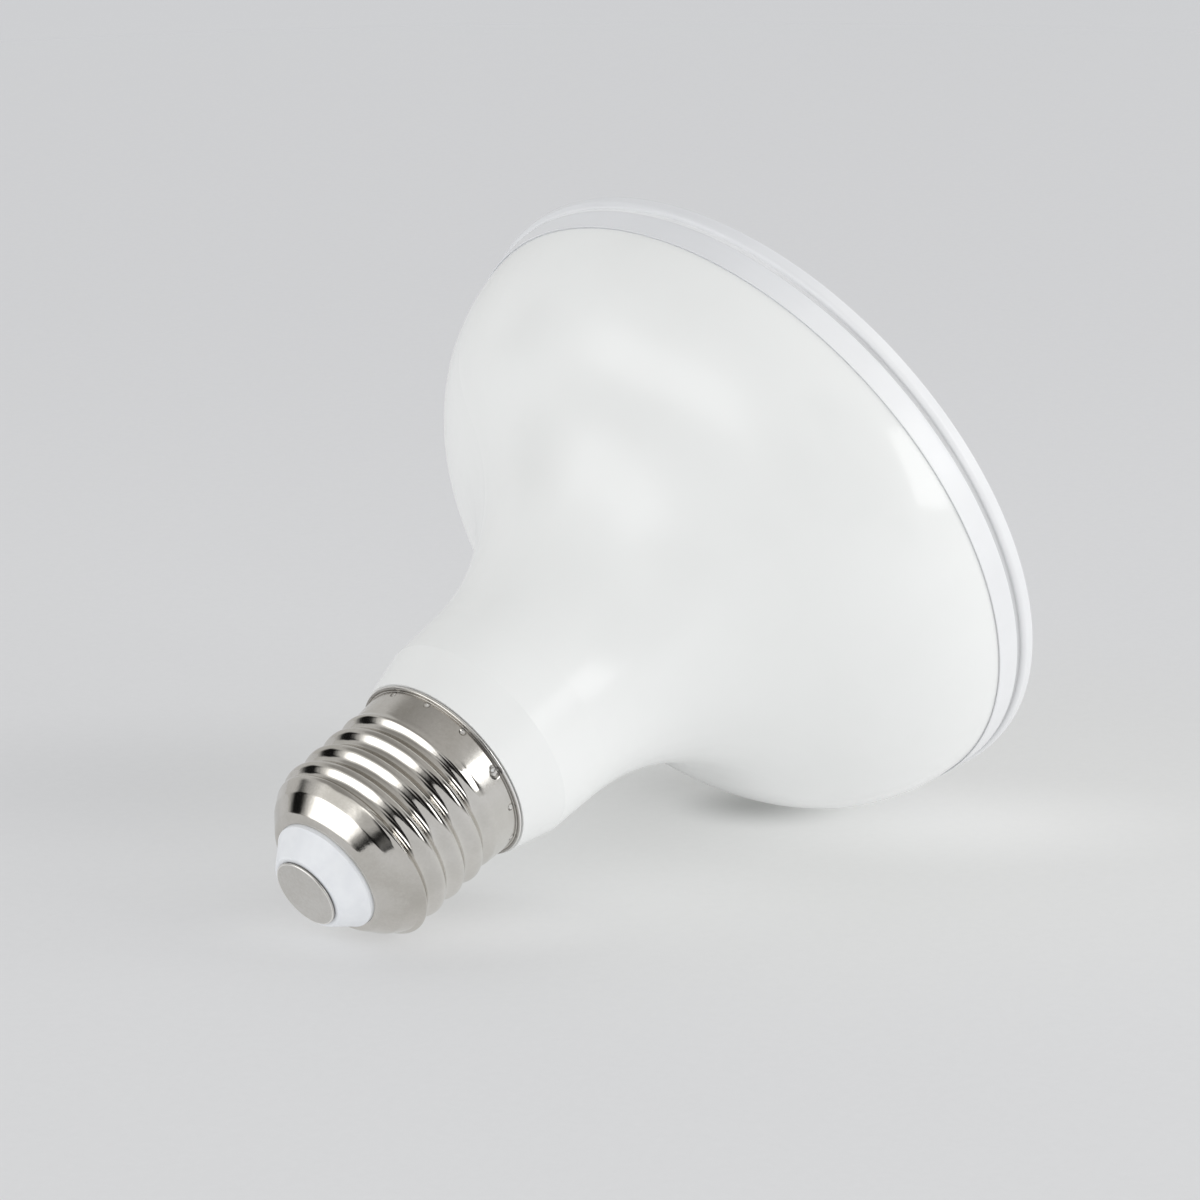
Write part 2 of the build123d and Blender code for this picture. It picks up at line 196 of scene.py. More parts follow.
# rows of (radius, height) in mm are turned about the axis; reach(row, angle) gives another radius
def turnedMesh(name, rows, steps, reach=None):
    verts = []
    faces = []
    for i, (r, z) in enumerate(rows):
        for k in range(steps):
            a = 2 * math.pi * k / steps
            out = reach(i, a) if reach else r
            verts.append((out * math.cos(a) * mm, out * math.sin(a) * mm, z * mm))
    for i in range(len(rows) - 1):
        for k in range(steps):
            n = (k + 1) % steps
            faces.append((i * steps + k, i * steps + n, (i + 1) * steps + n, (i + 1) * steps + k))
    data = bpy.data.meshes.new(name)
    data.from_pydata(verts, [], faces)
    data.polygons.foreach_set("use_smooth", [True] * len(faces))
    data.update()
    piece = bpy.data.objects.new(name, data)
    scene.collection.objects.link(piece)
    return piece


def arcRows(centre, radius, start, end, count):  # an arc in the radius-height plane, in count steps
    rows = []
    for i in range(count + 1):
        a = math.radians(start + (end - start) * i / count)
        rows.append((centre[0] + radius * math.cos(a), centre[1] + radius * math.sin(a)))
    return rows


def lineRows(first, last, count):
    steps = [i / count for i in range(count + 1)]
    return [(first[0] + (last[0] - first[0]) * t, first[1] + (last[1] - first[1]) * t) for t in steps]


def arcOn(rows, radius, start, end, count):  # goes on from the last row along an arc, and gives its centre
    a = math.radians(start)
    centre = (rows[-1][0] - radius * math.cos(a), rows[-1][1] - radius * math.sin(a))
    rows += arcRows(centre, radius, start, end, count)[1:]
    return centre


def slopeOn(rows, r, slope, count):  # goes on from the last row down a cone, as far as a radius
    last = rows[-1]
    end = (r, last[1] - (r - last[0]) / math.tan(math.radians(slope)))
    rows += lineRows(last, end, count)[1:]


def ease(value, low, high):
    t = min(max((value - low) / (high - low), 0), 1)
    return t * t * (3 - 2 * t)


def larger(first, second, soft):  # the larger of two radii, rounded where they meet
    half = soft / 2
    between = (first + second + math.hypot(first - second, soft)) / 2
    return between - half * half / max(abs(first - second), half)


def fit(piece, node, finish):
    piece.data.materials.append(finish.material)
    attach(piece, "root")
    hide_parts(node)


shell = {
    "steps": 410, "threadRows": 148, "collarRows": 38, "sparse": 4,  # one row in four above the marks
    # edge of the hole
    "holeR": 8.05, "holeZ": 88.834, "wall": 0.35, "taper": 0.02, "chamfer": (0.05, 0.06), "land": 0.15,
    # shoulder: a round, a cone, a round, a steeper cone and the corner above the thread
    "innerRound": 2.0, "slope": 44.0, "coneR": 11.3, "midRound": 1.4, "steep": 33.0, "bandR": 12.4,
    "outerRound": 0.8,
    # thread, and how it fades away at the shoulder and at the collar
    "rootR": 12.05, "crestR": 13.075, "pitch": 3.629, "start": 67.935, "flank": 45.5, "firstRow": 0.07,
    "runOut": 1.1, "runUnder": 0.88, "runIn": (-0.1, 1.7), "meet": 0.12,
    # collar and lip, with the crease beside the bead's top
    "collarTop": 70.134, "collarR": 12.8, "collarEase": 1.9, "collarGap": 0.1, "marksZ": 67.95,
    "lipR": 13.6, "lipZ": 65.934, "bead": 0.28, "beadArc": (140, -90), "tuck": (0.4, 0.02),
    "crease": ((-0.04, 0.2), (-0.1, 0.14), (-0.14, 0.0), (-0.06, -0.08)),
}
marks = {  # round dents beside the lip: how many, angle of one, height, radii of floor and edge, depth
    "small": (13, 327.8, 67.0, 0.2, 0.52, 0.22),
    "big": (1, 242.2, 67.1, 0.3, 0.8, 0.26),
}


def knuckle(z, angle):  # radius of the rolled thread: arcs over crest and root with straight flanks between
    s = shell
    half = s["pitch"] / 2
    lean = math.radians(s["flank"])
    arc = (half * math.tan(lean) - s["crestR"] + s["rootR"]) / (2 / math.cos(lean) - 2)
    turns = (z - s["start"]) / s["pitch"] - angle / (2 * math.pi)
    away = abs(turns - round(turns)) * s["pitch"]
    bow = arc * math.sin(lean)
    if away <= bow:
        return s["crestR"] - arc + math.sqrt(arc ** 2 - away ** 2)
    if away <= half - bow:
        return s["crestR"] - arc * (1 - math.cos(lean)) - (away - bow) * math.tan(lean)
    return s["rootR"] + arc - math.sqrt(arc ** 2 - (half - away) ** 2)


def dent(angle, z, r):  # depth of the punched marks at a place on the collar
    depth = 0
    for count, turn, height, floor, edge, deep in marks.values():
        share = 2 * math.pi / count
        across = (angle - math.radians(turn) + share / 2) % share - share / 2
        depth += deep * (1 - ease(math.hypot(across * r, z - height), floor, edge))
    return depth


def makeShell():
    s = shell
    wide, deep = s["chamfer"]
    rows = [(s["holeR"] - s["taper"], s["holeZ"] - s["wall"]), (s["holeR"], s["holeZ"] - deep)]
    rows += [(s["holeR"] + wide, s["holeZ"])]
    inner = (s["holeR"] + s["land"], s["holeZ"] - s["innerRound"])
    rows += arcRows(inner, s["innerRound"], 90, s["slope"], 10)
    slopeOn(rows, s["coneR"], s["slope"], 7)
    arcOn(rows, s["midRound"], s["slope"], s["steep"], 5)
    slopeOn(rows, s["bandR"], s["steep"], 6)
    threadStart = len(rows)
    cornerR, cornerZ = arcOn(rows, s["outerRound"], s["steep"], 0, 6)
    threadTop = (s["rootR"], cornerZ - s["firstRow"])
    rows += lineRows(threadTop, (s["rootR"], s["collarTop"]), s["threadRows"])
    threadEnd = len(rows)
    bead = s["bead"]
    beadAt = (s["lipR"] - bead, s["lipZ"] + bead)
    crease = [(beadAt[0] - bead + out, beadAt[1] + bead + up) for out, up in s["crease"]]
    creaseZ = crease[2][1]  # its deepest row
    collar = lineRows((s["collarR"], s["collarTop"] - s["collarGap"]), crease[0], s["collarRows"])
    rows += [row for k, row in enumerate(collar) if k % s["sparse"] == 0 or row[1] < s["marksZ"]]
    rows += crease[1:]
    rows += arcRows(beadAt, bead, *s["beadArc"], 13)
    rows += [(beadAt[0] - s["tuck"][0], s["lipZ"] + s["tuck"][1])]

    def reach(i, angle):
        r, z = rows[i]
        if i >= threadEnd:
            return r - dent(angle, z, r) if z > creaseZ else r
        if i < threadStart:
            return r
        drop = min(max(cornerZ - z, 0), s["outerRound"])
        hood = cornerR + math.sqrt(s["outerRound"] ** 2 - drop ** 2) if z < cornerZ else r
        foot = ease(s["collarTop"] + s["collarEase"] - z, 0, s["collarEase"])
        base = s["rootR"] + (s["collarR"] - s["rootR"]) * foot
        rise = (knuckle(z, angle) - s["rootR"]) / (s["crestR"] - s["rootR"])
        fade = ease(cornerZ + s["runUnder"] - z, 0, s["runOut"]) * ease(z - s["collarTop"], *s["runIn"])
        return larger(base + (s["crestR"] - base) * rise * fade, hood, s["meet"])

    return turnedMesh("screwShellFine", rows, s["steps"], reach)


insulator = {
    "steps": 180, "boreR": 3.0, "flatR": 4.8, "seatZ": 92.634, "seatGap": 0.01,  # flat under the disc
    "tipR": 5.55, "tipRound": 0.4, "tipIn": 0.22,
    "footR": 8.03, "footZ": 89.3, "footCut": (0.1, 0.14), "footRound": 0.25, "footTurn": 0.6, "baseZ": 88.3,
}


def makeInsulator():
    s = insulator
    lean = math.degrees(math.atan2(s["footR"] - s["tipR"], s["seatZ"] - s["footZ"]))
    flatZ = s["seatZ"] - s["seatGap"]
    rows = [(s["boreR"], flatZ), (s["flatR"], flatZ)]
    rows += arcRows((s["tipR"] - s["tipIn"], s["seatZ"] - s["tipRound"]), s["tipRound"], 90, lean, 8)
    wide, high = s["footCut"]
    rows += lineRows(rows[-1], (s["footR"] - wide, s["footZ"] + high), 12)[1:]
    foot = (s["footR"] - s["footRound"], s["footZ"])
    rows += arcRows(foot, s["footRound"], lean * s["footTurn"], 0, 3)
    rows += [(s["footR"], s["baseZ"])]
    return turnedMesh("capInsulatorFine", rows, s["steps"])


contact = {
    "steps": 140, "discR": 4.9, "topZ": 93.134, "height": 0.5, "round": 0.2, "dish": 0.03, "dishRows": 12,
    "wall": 0.4, "tuck": 0.2, "lift": 0.01, "stemR": 3.2,  # lower edge, down to the stem
}


def makeContact():
    s = contact
    bottom = s["topZ"] - s["height"]
    shares = [k / s["dishRows"] for k in range(1, s["dishRows"])]
    rows = [(pinhole, s["topZ"])]
    rows += [(s["discR"] * t, s["topZ"] - s["dish"] * t ** 2) for t in shares]
    rows += arcRows((s["discR"] - s["round"], s["topZ"] - s["dish"] - s["round"]), s["round"], 90, 0, 8)
    rows += [(s["discR"], s["topZ"] - s["wall"]), (s["discR"] - s["tuck"], bottom + s["lift"])]
    rows += [(s["stemR"], bottom)]
    return turnedMesh("centreContactFine", rows, s["steps"])


cover = {
    "steps": 300, "recess": 0.5, "lens": 2.2, "lensRound": 0.2, "lensLead": 0.3,  # lens, set back
    "rimR": 47.5, "rimZ": 2.9, "landWidth": 2.6, "landEdge": (0.1, 0.04), "shoulder": 0.8,
    "edgeWidth": 1.9, "edgeZ": 1.0, "edgeRound": 0.3, "edgeRise": 0.16, "edgeTurn": -62,
    "grooveR": 46.7, "grooveZ": 3.6, "grooveRound": 0.12, "grooveWall": 0.2, "grooveFall": 0.03,
    "skirtFootR": 46.9, "skirtTopR": 46.5, "skirtRound": 0.1, "skirtTurn": -80, "skirtWall": 1.6,
    "seamZ": 6.8, "seamRound": 0.12, "seamDrop": 0.14, "mouthR": 46.2,
    "notch": ((0.1, -0.02), (0.08, -0.07), (-0.02, -0.07), (-0.04, 0.0)),  # beside the bell's mouth
    "tongueR": 43.5, "tongueInner": 42.1, "tongueZ": 10.0, "chamfer": 0.1, "fillet": 0.3,
}


def makeCover():
    s = cover
    cut = s["chamfer"]
    seam = s["seamZ"]
    land = s["rimR"] - s["edgeWidth"]
    inner = land - s["landWidth"]
    wall = s["skirtTopR"] - s["skirtWall"]
    shelf = seam - s["skirtWall"]
    lensTop = s["recess"] + s["lens"]
    small = s["lensRound"]
    rows = [(pinhole, s["recess"]), (inner - s["lensLead"], s["recess"])]
    rows += arcRows((inner - small, s["recess"] - small), small, 90, 0, 3)
    rows += arcRows((inner + small, small), small, 180, 270, 4)
    wide, high = s["landEdge"]
    rows += [(land - wide, 0.0), (land + wide, high)]
    edge = (s["rimR"] - s["edgeRound"], s["edgeZ"] + s["edgeRise"])
    rows += arcRows(edge, s["edgeRound"], s["edgeTurn"], 0, 6)
    rows += arcRows((s["rimR"] - s["shoulder"], s["rimZ"] - s["shoulder"]), s["shoulder"], 0, 88, 12)
    small = s["grooveRound"]
    rows += arcRows((s["grooveR"] + small, s["rimZ"] + small), small, 268, 180, 4)
    small = s["skirtRound"]
    footR = s["skirtFootR"] - small
    footZ = s["grooveZ"] - s["grooveFall"]
    rows += [(s["grooveR"], s["grooveZ"] - s["grooveWall"]), (footR, footZ)]
    rows += arcRows((footR, footZ + small), small, s["skirtTurn"], 0, 4)
    skirtTop = (s["skirtTopR"], seam - s["seamDrop"])
    rows += lineRows((s["skirtFootR"], s["grooveZ"] + small), skirtTop, 6)[1:]
    small = s["seamRound"]
    rows += arcRows((s["skirtTopR"] - small, seam - small), small, 0, 90, 5)
    rows += [(s["mouthR"] + out, seam + up) for out, up in s["notch"]]
    rows += [(s["tongueR"] + cut, seam), (s["tongueR"], seam + cut), (s["tongueR"], s["tongueZ"])]
    rows += [(s["tongueInner"], s["tongueZ"]), (s["tongueInner"], shelf)]
    rows += [(wall - cut, shelf), (wall, shelf - cut)]
    rows += [(wall, lensTop + s["fillet"]), (wall - s["fillet"], lensTop), (pinhole, lensTop)]
    return turnedMesh("frontCoverFine", rows, s["steps"])


print("stage: finishes")

noiseSpan = (0.3, 0.7)  # where nearly all of a noise's values lie

# in the finishes a noise is grains per mm, detail and roughness; heights, radii and reliefs are in mm
nickel = {
    "dark": (0.60, 0.575, 0.53), "light": (0.70, 0.675, 0.635),
    # painted highlight tone, and painted shade tone for the lip and the marks' edges
    "paintedHighlight": (0.96, 0.95, 0.93), "paintedShade": (0.16, 0.15, 0.14),
    "streaks": (1.0, 3.0, 0.6), "streakScale": (1.5, 0.3, 14.0),  # around, outwards and along the axis
    "blotch": (0.22, 3.0, 0.55), "speck": (2.6, 2.0, 0.6), "waves": (0.4, 2.0, 0.5), "blotchShare": 0.7,
    "relief": (0.026, 0.0028, 0.0012),  # of waves, specks and streaks
    "roughness": (0.045, 0.04, 0.05, 0.14, 0.45),  # plain, then more by streaks, blotches, collar and marks
    # the bead's band carries a painted highlight
    "collar": (69.4, 70.4), "bead": (66.1, 66.36, 0.05), "beadHighlight": 0.7,
    "crevice": (66.42, 66.62, 0.04), "creviceShade": 0.55, "edge": (65.98, 66.08),  # painted shade: dark lines in the crease above the bead and along the lip's lower edge
    "coreSoft": 0.16, "rimFrom": 0.8, "rimSoft": 0.05, "rimShade": 0.55,  # marks: painted highlight on the floor, painted shade at the edge
    "shine": 0.3, "paintedLightTurn": 205.0, "paintedLightSpan": (0.3, 1.0), "paintedLightTop": (80.0, 85.0),  # painted light: one side of the collar and thread painted paler
}


def nickelFinish():
    s = nickel
    f = Finish("nickelPlate", {"Metallic": 1.0, "IOR": 2.0})
    turn, radius, height = f.polar()
    spot = f.place()
    around, outwards, along = s["streakScale"]
    drawn = {0: turn * around, 1: radius * outwards, 2: height * along}
    streaks = f.root.add("ShaderNodeCombineXYZ", None, drawn).noise(*s["streaks"])
    blotch = spot.noise(*s["blotch"])
    speck = spot.noise(*s["speck"])
    waves = spot.noise(*s["waves"])
    tone = (blotch * s["blotchShare"] + speck * (1 - s["blotchShare"])).smooth(*noiseSpan)
    collar = 1 - height.smooth(*s["collar"])
    core = 0
    markEdgeShade = 0
    for count, mark, level, floor, edge, _ in marks.values():
        share = 2 * math.pi / count
        slots = turn / share + (0.5 + count - math.radians(mark) / share)
        across = (slots.maths("FRACT", slots) - 0.5) * share * radius
        away = across.hypot(height - level)
        # each mark: a painted highlight on its floor, which is also rougher, and a painted shade ring at
        # its edge
        core = core + (1 - away.smooth(floor, floor + s["coreSoft"]))
        markEdgeShade = markEdgeShade + away.band(edge * s["rimFrom"], edge, s["rimSoft"]) * s["rimShade"]
    plain, streaked, blotched, dull, punched = s["roughness"]
    f.set("Roughness", plain + streaked * streaks + blotched * blotch + dull * collar + punched * core)
    # painted highlight along the bead
    bead = height.band(*s["bead"]) * s["beadHighlight"]
    # painted light: one side painted paler, below the shoulder
    shine = turn.facing(s["paintedLightTurn"]).smooth(*s["paintedLightSpan"]) * (1 - height.smooth(*s["paintedLightTop"]))
    plate = (core + bead + s["shine"] * shine).mix(tone.mix(s["dark"], s["light"]), s["paintedHighlight"])
    # painted shade in the crease above the bead and along the lip's lower edge
    paintedShade = height.band(*s["crevice"]) * s["creviceShade"] + (1 - height.smooth(*s["edge"]))
    f.set("Base Color", (paintedShade + markEdgeShade).mix(plate, s["paintedShade"]))
    broad, fine, faint = s["relief"]
    f.set("Normal", (waves * broad + speck * fine + streaks * faint).bump())
    return f


tin = {
    "dark": (0.63, 0.61, 0.575), "light": (0.70, 0.685, 0.655), "span": (0.35, 0.65),
    "paintedRing": (0.9, 0.885, 0.85), "paintedRingEdge": (4.68, 4.84, 0.03),  # painted highlight: a bright ring on the disc's rounded edge
    "wall": (0.16, 0.155, 0.15), "wallShadeTop": (92.8, 92.92),  # painted shade on the disc's side wall, down to its foot
    "grain": (2.4, 4.0, 0.65), "specks": (7.0, 3.0, 0.7), "cloud": (0.25, 2.0, 0.5), "grainShare": 0.6,
    "roughness": (0.24, 0.12), "relief": (0.003, 0.0012),
}


def contactFinish():
    s = tin
    f = Finish("contactTin", {"Metallic": 1.0, "IOR": 2.0})
    _, radius, height = f.polar()
    spot = f.place()
    grain = spot.noise(*s["grain"])
    specks = spot.noise(*s["specks"])
    tone = grain * s["grainShare"] + spot.noise(*s["cloud"]) * (1 - s["grainShare"])
    face = tone.smooth(*s["span"]).mix(s["dark"], s["light"])
    # painted highlight ring on the rounded edge
    paintedRing = radius.band(*s["paintedRingEdge"]).mix(face, s["paintedRing"])
    # painted shade on the side wall below its top
    f.set("Base Color", height.smooth(*s["wallShadeTop"]).mix(s["wall"], paintedRing))
    plain, speckled = s["roughness"]
    f.set("Roughness", plain + speckled * specks)
    broad, fine = s["relief"]
    f.set("Normal", (grain * broad + specks * fine).bump())
    return f


capWhite = {
    "low": (0.77, 0.79, 0.82), "high": (0.81, 0.83, 0.855), "cloud": (0.5, 3.0, 0.5),
    "grain": (6.0, 2.0, 0.6), "roughness": (0.36, 0.08), "relief": 0.0006,
}


def insulatorFinish():
    s = capWhite
    f = Finish("insulatorWhite", {"IOR": 1.5})
    spot = f.place()
    cloud = spot.noise(*s["cloud"])
    grain = spot.noise(*s["grain"])
    f.set("Base Color", cloud.smooth(*noiseSpan).mix(s["low"], s["high"]))
    plain, grainy = s["roughness"]
    f.set("Roughness", plain + grainy * grain)
    f.set("Normal", (grain * s["relief"]).bump())
    return f


bellWhite = {
    "low": (0.82, 0.831, 0.825), "high": (0.836, 0.847, 0.841), "cloud": (0.06, 3.0, 0.5),
    "peel": (1.1, 2.0, 0.5), "grain": (9.0, 2.0, 0.6), "relief": (0.002, 0.0003),
    "roughness": (0.105, 0.03, 0.015, 0.11), "satin": (12.0, 22.0),  # plain, cloud, grain, higher up
}


def housingFinish():
    s = bellWhite
    f = Finish("housingWhite", {"IOR": 1.47})
    spot = f.place()
    cloud = spot.noise(*s["cloud"])
    peel = spot.noise(*s["peel"])
    grain = spot.noise(*s["grain"])
    f.set("Base Color", cloud.smooth(*noiseSpan).mix(s["low"], s["high"]))
    plain, cloudy, grainy, satin = s["roughness"]
    height = spot.dot((0, 0, 1))
    f.set("Roughness", plain + cloudy * cloud + grainy * grain + satin * height.smooth(*s["satin"]))
    broad, fine = s["relief"]
    f.set("Normal", (peel * broad + grain * fine).bump())
    return f


clear = {
    "tints": ((0.96, 0.97, 0.98), (0.99, 0.99, 1.0)), "gloss": 0.04, "index": 1.49,
    "flow": (0.12, 3.0, 0.5), "relief": 0.016, "haze": (0.91, 0.08), "hazeRoughness": 0.25,
    "low": (0.875, 0.885, 0.90), "high": (0.90, 0.908, 0.92), "shade": (0.36, 0.365, 0.37),
    "seam": (46.2, 46.3, 0.03), "seamFrom": (6.4, 6.6), "seamShade": 0.32,
    "groove": (46.75, 47.3), "grooveBand": (2.0, 3.55, 0.03), "grooveShade": 0.36,
    # painted shade: one side painted darker in the tone of the darker background, and the side turned to
    # the floor painted greyer
    "paintedDark": (0.772, 0.784, 0.806), "paintedDarkTurn": 328.0, "paintedDarkSpan": (0.45, 0.9),
    "paintedGrey": (0.835, 0.845, 0.86), "paintedGreyTurn": 200.0, "paintedGreySpan": (0.72, 0.93),
}


def clearFinish():
    s = clear
    f = Finish("clearCover", {"IOR": s["index"], "Transmission Weight": 1.0, "Roughness": s["gloss"]})
    turn, radius, height = f.polar()
    flow = f.place().noise(*s["flow"])
    relief = (flow * s["relief"]).bump()
    f.set("Base Color", flow.mix(*s["tints"]))
    f.set("Normal", relief)
    seam = radius.band(*s["seam"]) * height.smooth(*s["seamFrom"])
    groove = (1 - radius.smooth(*s["groove"])) * height.band(*s["grooveBand"])
    # painted shade on two sides of the cover
    paintedDark = turn.facing(s["paintedDarkTurn"]).smooth(*s["paintedDarkSpan"])
    paintedGrey = turn.facing(s["paintedGreyTurn"]).smooth(*s["paintedGreySpan"])
    white = (paintedDark * (1 - groove)).mix(paintedGrey.mix(flow.mix(s["low"], s["high"]), s["paintedGrey"]), s["paintedDark"])
    milk = ((seam * s["seamShade"] + groove * s["grooveShade"]) * (1 - paintedDark)).mix(white, s["shade"])
    look = {"Base Color": milk, "Roughness": s["hazeRoughness"], "IOR": s["index"], "Normal": relief}
    body = f.root.add("ShaderNodeBsdfPrincipled", None, look)
    glass = Wire(f.tree, f.shader.outputs[0])
    plain, cloudy = s["haze"]
    f.show(f.root.add("ShaderNodeMixShader", None, {0: plain + cloudy * flow, 1: glass, 2: body}))
    return f


innerGrain = {"detail": 3.0, "roughness": 0.6, "dull": 0.15, "relief": 0.01}
inner = {  # nodes: dark tone, light tone, roughness, metallic, grains per mm
    "heat_spreader": ((0.62, 0.62, 0.63), (0.74, 0.74, 0.75), 0.32, 1.0, 1.2),
    "led_board": ((0.78, 0.78, 0.76), (0.85, 0.85, 0.83), 0.4, 0.0, 3.0),
    "led_chips": ((0.82, 0.66, 0.2), (0.9, 0.78, 0.32), 0.35, 0.0, 6.0),
    "board_screws": ((0.5, 0.5, 0.5), (0.62, 0.62, 0.62), 0.28, 1.0, 4.0),
    "lead_connector": ((0.78, 0.77, 0.73), (0.84, 0.83, 0.8), 0.45, 0.0, 4.0),
    "positive_lead, live_wire": ((0.45, 0.03, 0.03), (0.55, 0.06, 0.05), 0.45, 0.0, 3.0),
    "negative_lead, neutral_wire": ((0.03, 0.03, 0.03), (0.06, 0.06, 0.06), 0.45, 0.0, 3.0),
    "driver_board": ((0.05, 0.22, 0.1), (0.08, 0.3, 0.14), 0.35, 0.0, 1.5),
    "inductor_core": ((0.07, 0.07, 0.075), (0.13, 0.13, 0.135), 0.6, 0.0, 4.0),
    "inductor_winding": ((0.5, 0.2, 0.08), (0.65, 0.3, 0.14), 0.3, 1.0, 5.0),
    "output_capacitor, bulk_capacitor": ((0.03, 0.03, 0.04), (0.06, 0.06, 0.07), 0.3, 0.0, 2.0),
    "film_capacitor": ((0.4, 0.05, 0.03), (0.5, 0.08, 0.05), 0.35, 0.0, 3.0),
    "fuse_resistor": ((0.1, 0.24, 0.42), (0.16, 0.32, 0.5), 0.35, 0.0, 4.0),
    "flyback_diode, driver_chip, bridge_rectifier": (
        (0.025, 0.025, 0.025), (0.05, 0.05, 0.05), 0.5, 0.0, 6.0,
    ),
}


def innerFinish(name, low, high, roughness, metallic, scale):
    s = innerGrain
    f = Finish(name, {"Metallic": metallic})
    grain = f.place().noise(scale, s["detail"], s["roughness"])
    f.set("Base Color", grain.smooth(*noiseSpan).mix(low, high))
    f.set("Roughness", roughness + s["dull"] * grain)
    f.set("Normal", (grain * s["relief"]).bump())
    return f


def dress(node, finish):
    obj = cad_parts[node]
    obj.data.materials.clear()
    obj.data.materials.append(finish.material)


fit(makeShell(), "screw_shell", nickelFinish())
fit(makeInsulator(), "cap_insulator", insulatorFinish())
fit(makeContact(), "centre_contact", contactFinish())
fit(makeCover(), "front_cover", clearFinish())
dress("housing", housingFinish())
for nodes, settings in inner.items():
    for node in nodes.split(", "):
        dress(node, innerFinish(node + "Finish", *settings))

print("stage: floor and light")

paper = {  # places on the floor are in mm from where the bell touches it
    "size": 720.0, "fade": (480.0, 700.0), "front": (160.0, 175.0),  # half width, and where it fades away
    "matt": (0.38, 0.381, 0.384), "roughness": 0.9, "shine": 0.1, "fibres": (0.8, 3.0, 0.6), "grain": 0.02,
    # tones that the camera and mirrors see, from far to near, and a warmer tone around the lamp
    "far": (0.282, 0.286, 0.296), "near": (0.316, 0.32, 0.326), "depth": (-330.0, 70.0),
    "warm": 0.014, "warmReach": (25.0, 110.0),
    # light that it throws back on matt surfaces, and the place beside the flare that throws back little
    "bounce": (0.535, 0.535, 0.535), "under": (0.02, 0.02, 0.02), "shelter": (-21, -3, 27, 27),
    "paintedPools": (  # painted shadows and pools of light: right, towards, half widths, change
        (-3.5, 5, 14, 11, -0.25), (20, 12, 46, 24, 0.085), (20, 30, 120, 90, 0.03), (-52, 56, 32, 15, 0.11),
        (-25, 42, 40, 28, 0.035), (-85, -5, 70, 40, -0.045),
    ),
}


def makeFloor():
    s = paper
    reach = s["size"] * mm
    radius, height = ground["touch"]
    touch = heading(ground["azimuth"], 0) * radius * mm + Vector((0, 0, height * mm))
    across = viewRight * reach
    along = viewTowards * reach
    near = [touch - across + along, touch + across + along]
    far = [touch + across - along, touch - across - along]
    data = bpy.data.meshes.new("floor")
    data.from_pydata([tuple(corner) for corner in near + far], [], [(0, 1, 2, 3)])
    floor = bpy.data.objects.new("floor", data)
    scene.collection.objects.link(floor)
    look = {"Roughness": s["roughness"], "Specular IOR Level": s["shine"], "Emission Strength": 1.0}
    f = Finish("floorPaper", look)
    spot = f.place()
    grain = spot.noise(*s["fibres"])
    f.set("Base Color", grain.mix(s["matt"], [c * (1 + s["grain"]) for c in s["matt"]]))
    centre = Vector(tuple(c / mm for c in touch))
    side = spot.dot(viewRight) - viewRight.dot(centre)
    depth = spot.dot(viewTowards) - viewTowards.dot(centre)
    away = spot.vectors("DISTANCE", centre, "Value")

    def pool(right, towards, wide, deep):  # 1 in the middle of a round place, 0 at its edge
        return 1 - ((side - right) / wide).hypot((depth - towards) / deep).smooth(0, 1)

    extra = s["grain"] * grain
    # painted shadows and pools of light
    for *place, change in s["paintedPools"]:
        extra = extra + pool(*place) * change
    blue = extra - s["warm"] * (1 - away.smooth(*s["warmReach"]))
    shade = f.root.add("ShaderNodeCombineColor", None, {0: extra, 1: extra, 2: blue})
    shown = depth.smooth(*s["depth"]).mix(s["far"], s["near"]).vectors("ADD", shade)
    path = f.root.add("ShaderNodeLightPath")
    mirror = path.maths("MAXIMUM", path.output("Is Glossy Ray"), path.output("Is Transmission Ray"))
    seen = path.maths("MAXIMUM", path, mirror)
    thrown = pool(*s["shelter"]).mix(s["bounce"], s["under"])
    f.set("Emission Color", seen.mix(thrown, shown))
    back = f.root.add("ShaderNodeNewGeometry", None, None, "Backfacing")
    f.set("Alpha", (1 - away.smooth(*s["fade"])) * (1 - depth.smooth(*s["front"])) * (1 - back))
    data.materials.append(f.material)


studio = {  # places are azimuths from the camera side and heights above the floor, degrees
    "far": (0.605, 0.612, 0.627), "near": (0.70, 0.706, 0.72), "horizon": (-0.42, -0.1),  # background tones
    "fill": 0.808, "fillUp": -0.055,  # soft fill on matt surfaces: level, change from above
    # the soft light at the left as mirrors see it and as it fills, with its place and soft edge
    "left": (2.6, 2.6, 2.6), "leftFill": (2.0, 2.0, 2.0), "leftPlace": (-85, -30, 1, 27, 7),
    "glow": (0.9, 0.9, 0.89), "glowPlace": (-94, -24, 8, 44, 9),  # its paler surround
    "walls": (0.58, 0.58, 0.575), "wallsFrom": (-12, 0), "ceilingFrom": (34, 50),
    "ceiling": ((0.345, 0.34, 0.33), (0.52, 0.515, 0.505)), "ceilingSpan": (-0.3, 0.4),  # left to right
    "dark": (0.008, 0.008, 0.008), "darkSoft": 6.0,
    "darkPlaces": ((-119, -97, -3, 20), (-26, 4, -16, 11), (4, 40, -14, 38), (65, 100, 3, 38)),
}


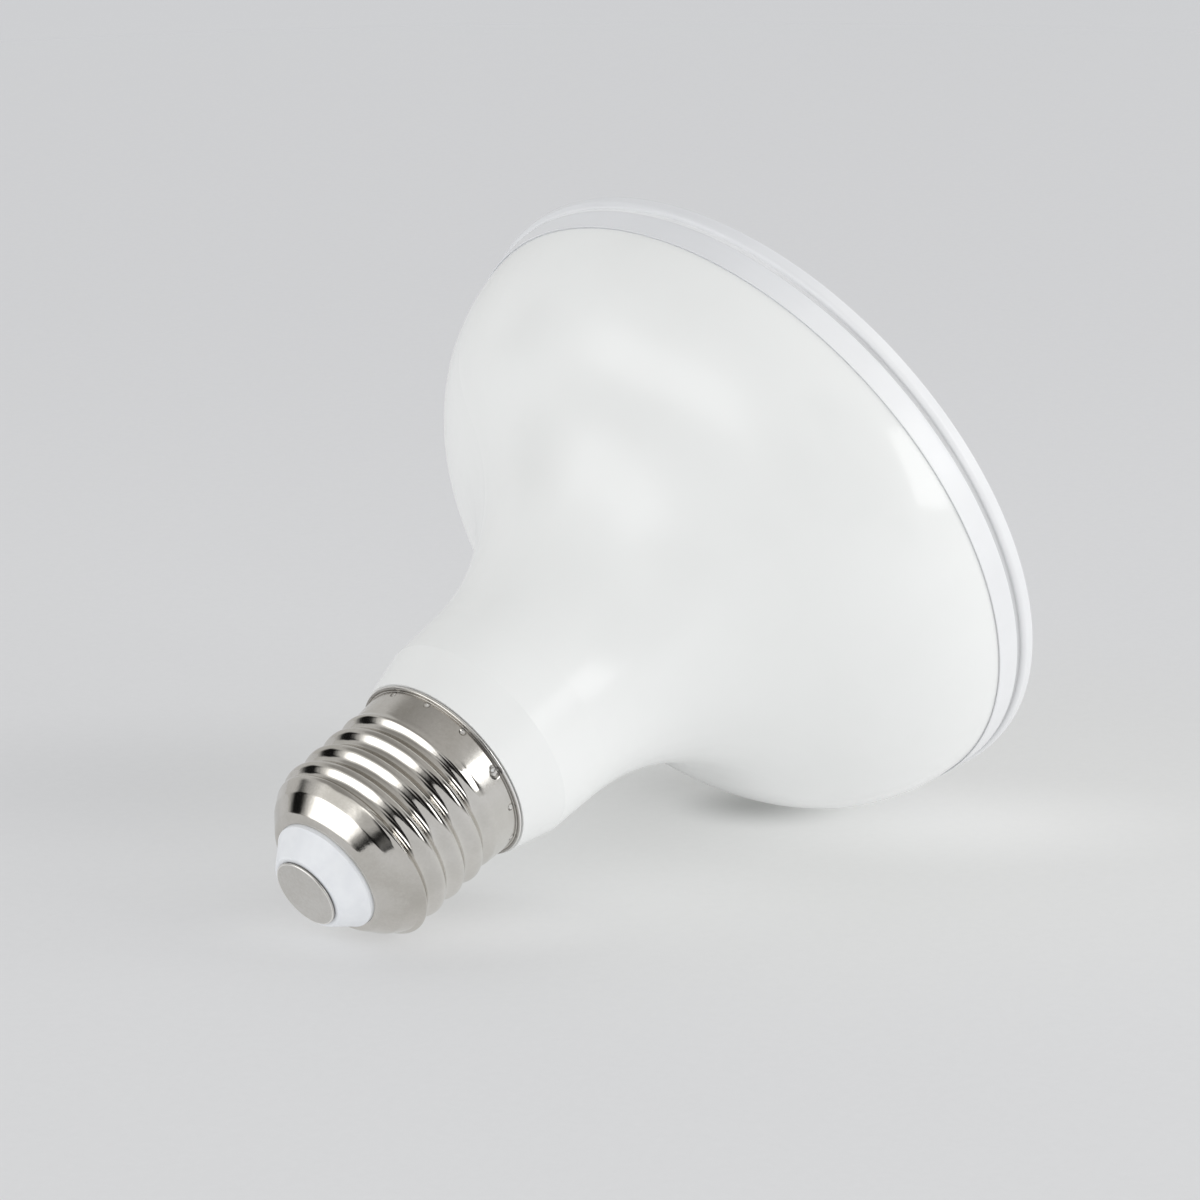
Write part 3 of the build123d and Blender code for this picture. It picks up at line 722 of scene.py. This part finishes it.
def makeWorld():
    s = studio
    world = bpy.data.worlds.new("studio")
    scene.world = world
    world.use_nodes = True
    tree = world.node_tree
    root = Wire(tree, None)
    ray = root.add("ShaderNodeTexCoord")
    up = ray.dot(groundUp)
    towards = ray.dot(viewTowards)
    side = ray.dot(viewRight)
    azimuth = side.maths("ARCTAN2", side, towards) * toDegrees
    height = up.maths("ARCSINE", up) * toDegrees

    def zone(left, right, low, high, soft):  # 1 inside a part of the room
        return azimuth.band(left, right, soft) * height.band(low, high, soft)

    backdrop = up.smooth(*s["horizon"]).mix(s["near"], s["far"])
    ceiling = side.smooth(*s["ceilingSpan"]).mix(*s["ceiling"])
    walls = height.smooth(*s["wallsFrom"]).mix(s["near"], s["walls"])
    room = height.smooth(*s["ceilingFrom"]).mix(walls, ceiling)
    lobe = zone(*s["leftPlace"])
    room = lobe.mix(zone(*s["glowPlace"]).mix(room, s["glow"]), s["left"])
    for place in s["darkPlaces"]:
        room = zone(*place, s["darkSoft"]).mix(room, s["dark"])
    level = s["fill"] + s["fillUp"] * up
    fill = lobe.mix(root.add("ShaderNodeCombineColor", None, {0: level, 1: level, 2: level}), s["leftFill"])
    path = root.add("ShaderNodeLightPath")
    seen = path.maths("MAXIMUM", path, path.output("Is Transmission Ray"))
    colour = seen.mix(path.output("Is Glossy Ray").mix(fill, room), backdrop)
    root.feed(tree.nodes["Background"].inputs["Color"], colour)


lampMiddle = Vector((0, 0, 0.045))  # what the lights face, in metres
boxes = {  # azimuth from the camera side, elevation, distance, width, height, power, seen in gloss
    "rightBox": (56, 15.5, 0.8, 0.25, 0.37, 0.78, True),
    "keyLight": (88, 13, 1.0, 0.5, 0.5, 2.1, False),
}


def makeLights():
    for name, (azimuth, elevation, distance, width, height, power, gloss) in boxes.items():
        a = math.radians(azimuth)
        e = math.radians(elevation)
        level = viewTowards * math.cos(a) + viewRight * math.sin(a)
        out = level * math.cos(e) + groundUp * math.sin(e)
        light = bpy.data.lights.new(name, "AREA")
        light.shape = "RECTANGLE"
        light.size, light.size_y = width, height
        light.energy = power
        lightPiece = bpy.data.objects.new(name, light)
        scene.collection.objects.link(lightPiece)
        lightPiece.visible_glossy = gloss
        across = groundUp.cross(out).normalized()
        turn = Matrix((across, out.cross(across), out)).transposed().to_4x4()
        lightPiece.matrix_world = Matrix.Translation(lampMiddle + out * distance) @ turn


makeFloor()
makeWorld()
makeLights()
